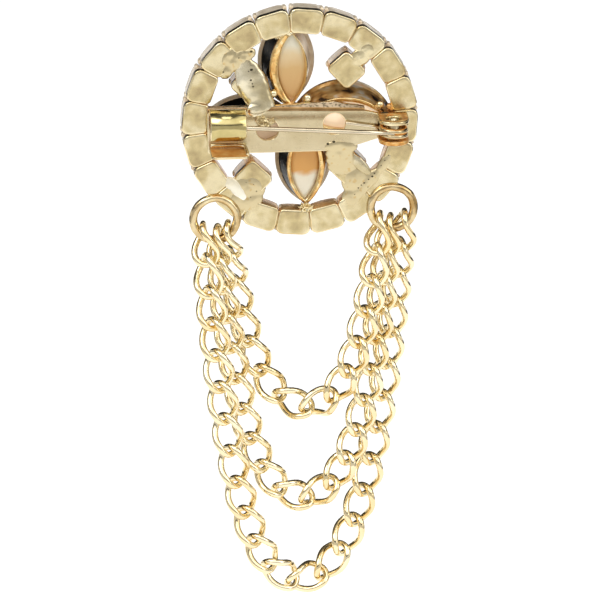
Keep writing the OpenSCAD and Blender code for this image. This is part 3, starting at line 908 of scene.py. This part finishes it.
solder("solder_lower_left",
       [(-7.6, 0.28, -9.4, 1.7, 0.42, 2.4, 40), (-6.9, 0.28, -11.1, 2.2, 0.42, 1.5, 30),
        (-8.4, 0.28, -10.8, 1.5, 0.4, 1.4, 0), (-6.4, 0.3, -9.0, 1.8, 0.4, 2.0, 40)],
       soft=30, rough=0.02, scale=1.0,
       pits=[(-6.3, -8.6, 0.07), (-5.9, -9.6, 0.1), (-6.7, -10.4, 0.08), (-7.3, -8.3, 0.06)])
# painted highlight: a pale streak on the solder where it catches the light
solder("solder_glint_lower_left",
       [(-8.5, 0.1, -9.3, 0.9, 0.32, 2.3, 38), (-9.3, 0.1, -8.5, 0.9, 0.28, 0.9, 0)],
       voxel=0.08, soft=12, rough=0.02, material=GLINT)
solder("solder_lower_right",
       [(8.7, 0.28, -9.4, 3.2, 0.42, 1.1, 48), (9.6, 0.28, -8.4, 2.0, 0.42, 1.1, 45),
        (7.6, 0.28, -8.4, 2.2, 0.42, 2.0, 45), (11.4, 0.25, -6.3, 2.1, 0.38, 0.8, 60),
        (7.0, 0.28, -10.9, 1.4, 0.4, 1.5, 20)],
       soft=16, rough=0.03, scale=1.0,
       pits=[(7.9, -9.5, 0.12), (8.3, -9.1, 0.1), (8.7, -8.8, 0.13), (9.3, -8.3, 0.1), (9.8, -7.9, 0.16),
             (10.1, -7.5, 0.1), (11.0, -6.4, 0.08), (11.5, -5.7, 0.09), (12.0, -5.0, 0.08), (9.2, -9.4, 0.08),
             (7.4, -10.4, 0.08)])
# painted highlight: a pale streak on the solder where it catches the light
solder("solder_glint_lower_right", [(8.1, 0.06, -6.1, 0.8, 0.34, 2.2, 42)],
       voxel=0.08, soft=12, rough=0.02, material=SOLDER_WHITE)
solder("solder_bar_lower_right",
       [(4.6, -0.72, -3.2, 1.6, 0.26, 0.8, 10), (6.2, -0.6, -3.4, 1.7, 0.32, 1.0, 0),
        (5.3, -0.35, -4.4, 2.0, 0.5, 1.2, 0), (5.5, -0.1, -5.3, 2.1, 0.42, 1.3, 0),
        (5.8, 0.15, -6.3, 2.2, 0.32, 1.5, 0)],
       soft=24, rough=0.03, scale=1.0,
       pits=[(3.3, -2.4, 0.16), (3.7, -2.9, 0.2), (4.5, -2.6, 0.22), (5.2, -2.3, 0.2), (7.9, -4.2, 0.12)])
# painted light: the solder in the middle and by the right and left petals is painted orange as reflection,
# the solder by the top and bottom petals in the pale gold of a painted highlight
solder("solder_middle", [(-0.2, 1.0, -0.8, 2.3, 1.2, 2.0, 0), (-1.0, 1.2, 1.2, 1.3, 1.0, 1.4, 0)],
       soft=2, rough=0.2, scale=1.5, material=INNER_REFLECTION)
solder("solder_right_petal", [(12.1, 1.8, 0.5, 0.8, 1.6, 0.8, 0), (12.4, 0.6, 1.8, 0.6, 0.6, 0.5, 0)],
       voxel=0.1, soft=1, rough=0.2, scale=2.5, material=INNER_REFLECTION)
solder("solder_bottom_petal",
       [(0.9, 0.35, -12.35, 0.75, 0.4, 0.7, 0), (0.3, 0.5, -12.4, 0.4, 0.3, 0.35, 0),
        (1.4, 0.5, -12.2, 0.4, 0.3, 0.4, 0)],
       voxel=0.07, rough=0.5, scale=4.0, material=EDGE_HIGHLIGHT)
solder("solder_top_petal", [(-1.6, 0.9, 12.6, 1.2, 0.7, 0.6, 0), (-3.0, 0.8, 12.1, 0.8, 0.5, 0.5, 0)],
       voxel=0.1, soft=1, rough=0.3, scale=2.5, material=EDGE_HIGHLIGHT)
solder("solder_left_petal", [(-12.4, 1.0, -1.2, 0.7, 0.9, 0.8, 0)],
       voxel=0.1, soft=1, rough=0.25, scale=2.5, material=INNER_REFLECTION)
# the beads are in the pale gold of a painted highlight
BEAD_R = 0.55
for k, (x, z) in enumerate(((-3.55, 4.1), (1.05, 3.35), (10.9, 2.15)), 1):
    solder("solder_bead_%d" % k,
           [(x, 0.35, z, BEAD_R, BEAD_R, BEAD_R, 0),
            (x - 0.2, 0.8, z - 0.4, BEAD_R * 0.9, BEAD_R, BEAD_R * 0.9, 0)],
           voxel=0.07, soft=3, material=EDGE_HIGHLIGHT)


# Jump rings

RINGS = ((-11.5, -13.35), (12.5, -12.4))
RING_R = 2.95
RING_WIRE = 0.6


def jump_ring(name, cx, cz, seed):
    """Ring of slightly uneven wire; seed picks its unevenness."""
    pts, radii, ups = [], [], []
    for c, s in circle(0, 0, 1, 120):
        d = Vector((c, s, seed))
        r = RING_R + 0.07 * noise.noise(d * 1.5)
        pts.append(Vector((cx + r * c, 0.05 * noise.noise(d * 2), cz + r * s)))
        radii.append((RING_WIRE - 0.02) * (1 + 0.07 * noise.noise(d * 3.5)))
        ups.append(Vector((c, 0, s)))
    bm = bmesh.new()
    tube(bm, pts, radii, 20, ups=ups)
    finish_piece(name, bm, [RING])


jump_ring("ring_left", *RINGS[0], 1.7)
jump_ring("ring_right", *RINGS[1], 5.2)


# Chains
# The same rule as in part.scad: links hooked along a catenary between two rings.

PITCH, LINK_L, LINK_W = 4.26, 2.74, 1.7
LINK_R = 0.45  # a little thicker than in part.scad, where the loose links have to stay apart
TWIST = 45.0
RING_DROP = 1.1
LINK_OVAL = 0.87  # power that makes a link's oval fuller than an ellipse
SWAG_EASE = 0.05  # share of the length by which the hooks are drawn together at the ends and middle
SWAG_CROSS = 24  # how quickly a swag changes its depth at its middle
# links, place on the left and right ring, turn left and right, depth left and right, links over which the
# depth is reached and the turn fades, size
Swag = namedtuple("Swag", "links at_left at_right turn_left turn_right depth_left depth_right fan fade size")
SWAGS = {
    "outer": Swag(25, -32.8, 33.6, 66.3, 59.8, -2.6, 2.86, 1.82, 2.14, 1.035),
    "middle": Swag(20, 5.7, -5.8, 75.6, 69.5, 0.7, -0.05, 1.75, 2.34, 1.0),
    "inner": Swag(14, 34.4, -34.4, 76.9, 73.1, 2.6, -2.3, 1.08, 2.05, 1.01),
}


def on_ring(k, deg):
    """Where a chain hooks on to ring k, deg from the ring's lowest point."""
    x, z = turn(0, -RING_R, deg, *RINGS[k])
    return x, z + RING_DROP


def catenary(span, reach):
    """Parameter of a hanging chain, found by halving.
    reach: the root of its length squared less its rise squared."""
    low, high = 0.5, 80.0
    for _ in range(40):
        middle = (low + high) / 2
        if 2 * middle * math.sinh(span / (2 * middle)) > reach:
            low = middle
        else:
            high = middle
    return (low + high) / 2


def hooks(s):
    """Points where the links of a swag hook into each other."""
    p, q, length = on_ring(0, s.at_left), on_ring(1, s.at_right), s.links * PITCH * s.size
    h, v = q[0] - p[0], q[1] - p[1]
    a = catenary(h, math.sqrt(length * length - v * v))
    x0 = (p[0] + q[0]) / 2 - a * math.atanh(v / length)
    start = a * math.sinh((p[0] - x0) / a)
    z0 = p[1] - math.sqrt(a * a + start * start)
    out = []
    for i in range(s.links + 1):
        t = i / s.links
        arc = start + length * (t - SWAG_EASE * math.sin(4 * math.pi * t) / (4 * math.pi))
        depth = s.depth_left + (s.depth_right - s.depth_left) / (1 + math.exp(-SWAG_CROSS * (t - 0.5)))
        y = depth * (1 - math.exp(-((min(i, s.links - i) / s.fan) ** 2)))
        out.append(Vector((x0 + a * math.asinh(arc / a), y, z0 + math.sqrt(a * a + arc * arc))))
    return out


def link_roll(i, s):
    """Mean turn of link i about its length: the links lie flat, and turn edge-on towards the rings."""
    if i + 0.5 < s.links / 2:
        return 180 - s.turn_left * math.exp(-(i + 0.5) / s.fade)
    return 180 + s.turn_right * math.exp(-(s.links - i - 0.5) / s.fade)


def power(v, e):
    return math.copysign(abs(v) ** e, v)


def link_path(p, q, roll, size):
    """Middle of a link's wire between the hooks p and q: an oval twisted about its length."""
    u = (q - p).normalized()
    w = u.cross(Vector((0, 1, 0))).normalized()
    v = w.cross(u)
    pts = []
    for c, s in circle(0, 0, 1, 48):
        x = LINK_L * power(c, LINK_OVAL)
        side = LINK_W * power(s, LINK_OVAL)
        a = math.radians(roll + TWIST * math.sin(math.pi / 2 * x / LINK_L))
        pts.append((p + q) / 2 + size * (u * x + w * (side * math.cos(a)) + v * (side * math.sin(a))))
    return pts


def chain(which):
    swag = SWAGS[which]
    hook = hooks(swag)
    bm = bmesh.new()
    for i in range(swag.links):
        pts = link_path(hook[i], hook[i + 1], link_roll(i, swag), swag.size)
        centre = (hook[i] + hook[i + 1]) / 2
        tube(bm, pts, LINK_R, 14, ups=[p - centre for p in pts])
    o = finish_piece("swag_" + which, bm, [CHAIN])
    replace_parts(o, "chain_" + which)


for which in SWAGS:
    chain(which)


# Stage, light, camera

PX = 0.135 * MM  # size of a pixel of the photo at the brooch, in metres
PHOTO_SIZE = 600
AXIS_ROW = 122.3  # the photo's row in which the wreath's axis lies, counted from the top
ELEVATION, AZIMUTH = math.radians(18.0), math.radians(5.0)
DISTANCE = 3.0


def camera():
    """Camera above and to the left of the pin side, far away, with the photo's own framing."""
    cos_e, sin_e = math.cos(ELEVATION), math.sin(ELEVATION)
    cos_a, sin_a = math.cos(AZIMUTH), math.sin(AZIMUTH)
    forward = Vector((sin_a * cos_e, cos_a * cos_e, -sin_e))
    up = Vector((sin_a * sin_e, cos_a * sin_e, cos_e))
    target = Vector((0, BACK_Y * MM, 0)) - up * ((PHOTO_SIZE / 2 - AXIS_ROW) * PX)
    data = bpy.data.cameras.new("camera")
    data.sensor_width = 36.0
    data.lens = data.sensor_width * DISTANCE / (PHOTO_SIZE * PX)
    data.clip_start = 0.01
    data.clip_end = 20.0
    cam = bpy.data.objects.new("camera", data)
    cam.location = target - forward * DISTANCE
    cam.rotation_euler = forward.to_track_quat("-Z", "Y").to_euler()
    bpy.context.collection.objects.link(cam)
    bpy.context.scene.camera = cam


def floor():
    """Pale sheet below and behind the brooch, just wide enough to fill the picture."""
    half_width, half_depth, centre_y, height = 0.23, 1.05, 0.45, -0.12
    bm = bmesh.new()
    bmesh.ops.create_grid(bm, x_segments=8, y_segments=8, size=1.0)
    for v in bm.verts:
        v.co = (half_width * v.co.x, centre_y + half_depth * v.co.y, height)
    me = bpy.data.meshes.new("floor")
    bm.to_mesh(me)
    bm.free()
    m, nt, shader = node_material("floor")
    stops = [(0.0, (0.96, 0.96, 0.96)), (1.0, (1.0, 1.0, 1.0))]
    nt.links.new(ramp(nt, add_noise(nt, object_place(nt), 3.0), stops), shader.inputs["Base Color"])
    shader.inputs["Roughness"].default_value = 0.9
    shader.inputs["Emission Color"].default_value = (1, 1, 1, 1)
    shader.inputs["Emission Strength"].default_value = 0.45
    me.materials.append(m)
    o = bpy.data.objects.new("floor", me)
    bpy.context.collection.objects.link(o)


def area(name, place, size, radiance):
    """Rectangular light that looks at the brooch."""
    brooch = Vector((0, 0, -0.02))
    light = bpy.data.lights.new(name, "AREA")
    light.shape = "RECTANGLE"
    light.size, light.size_y = size
    light.energy = radiance * math.pi * size[0] * size[1]
    o = bpy.data.objects.new(name, light)
    o.location = place
    o.rotation_euler = (brooch - Vector(place)).to_track_quat("-Z", "Y").to_euler()
    bpy.context.collection.objects.link(o)


def greys(*stops):
    """Ramp stops of plain greys, from pairs of height z (-1 straight down, 1 straight up) and brightness."""
    return [((z + 1) / 2, (v, v, v)) for z, v in stops]


def studio():
    """Sky by height: in front a bright low part, one dark band and bright above; behind a pale strip at
    the horizon and dark above and below it."""
    world = bpy.data.worlds.new("studio")
    world.use_nodes = True
    nt = world.node_tree
    sep = nt.nodes.new("ShaderNodeSeparateXYZ")
    nt.links.new(nt.nodes.new("ShaderNodeTexCoord").outputs["Generated"], sep.inputs[0])
    height = map_range(nt, sep.outputs["Z"], -1.0, 1.0)
    front = ramp(nt, height, greys((-0.1, 0.42), (0.22, 0.42), (0.27, 0.03), (0.34, 0.03), (0.4, 0.5),
                                   (0.5, 1.0), (0.82, 0.9), (0.93, 0.06)))
    back = ramp(nt, height, greys((-0.13, 0.02), (-0.09, 0.64), (0.06, 0.64), (0.12, 0.02), (0.92, 0.05),
                                  (1.0, 0.2)))
    mix = nt.nodes.new("ShaderNodeMix")
    mix.data_type = "RGBA"
    nt.links.new(map_range(nt, sep.outputs["Y"], -0.05, 0.1), mix.inputs["Factor"])
    nt.links.new(front, mix.inputs["A"])
    nt.links.new(back, mix.inputs["B"])
    background = nt.nodes["Background"]
    nt.links.new(mix.outputs["Result"], background.inputs["Color"])
    background.inputs["Strength"].default_value = 1.62
    bpy.context.scene.world = world


camera()
floor()
area("key", (-0.55, -0.5, 0.75), (0.5, 0.5), 3.0)
area("fill", (0.7, -0.5, 0.35), (0.3, 0.6), 1.8)
area("top", (0.0, -0.3, 1.0), (0.4, 0.3), 2.4)
studio()
bpy.context.scene.view_settings.view_transform = "Standard"
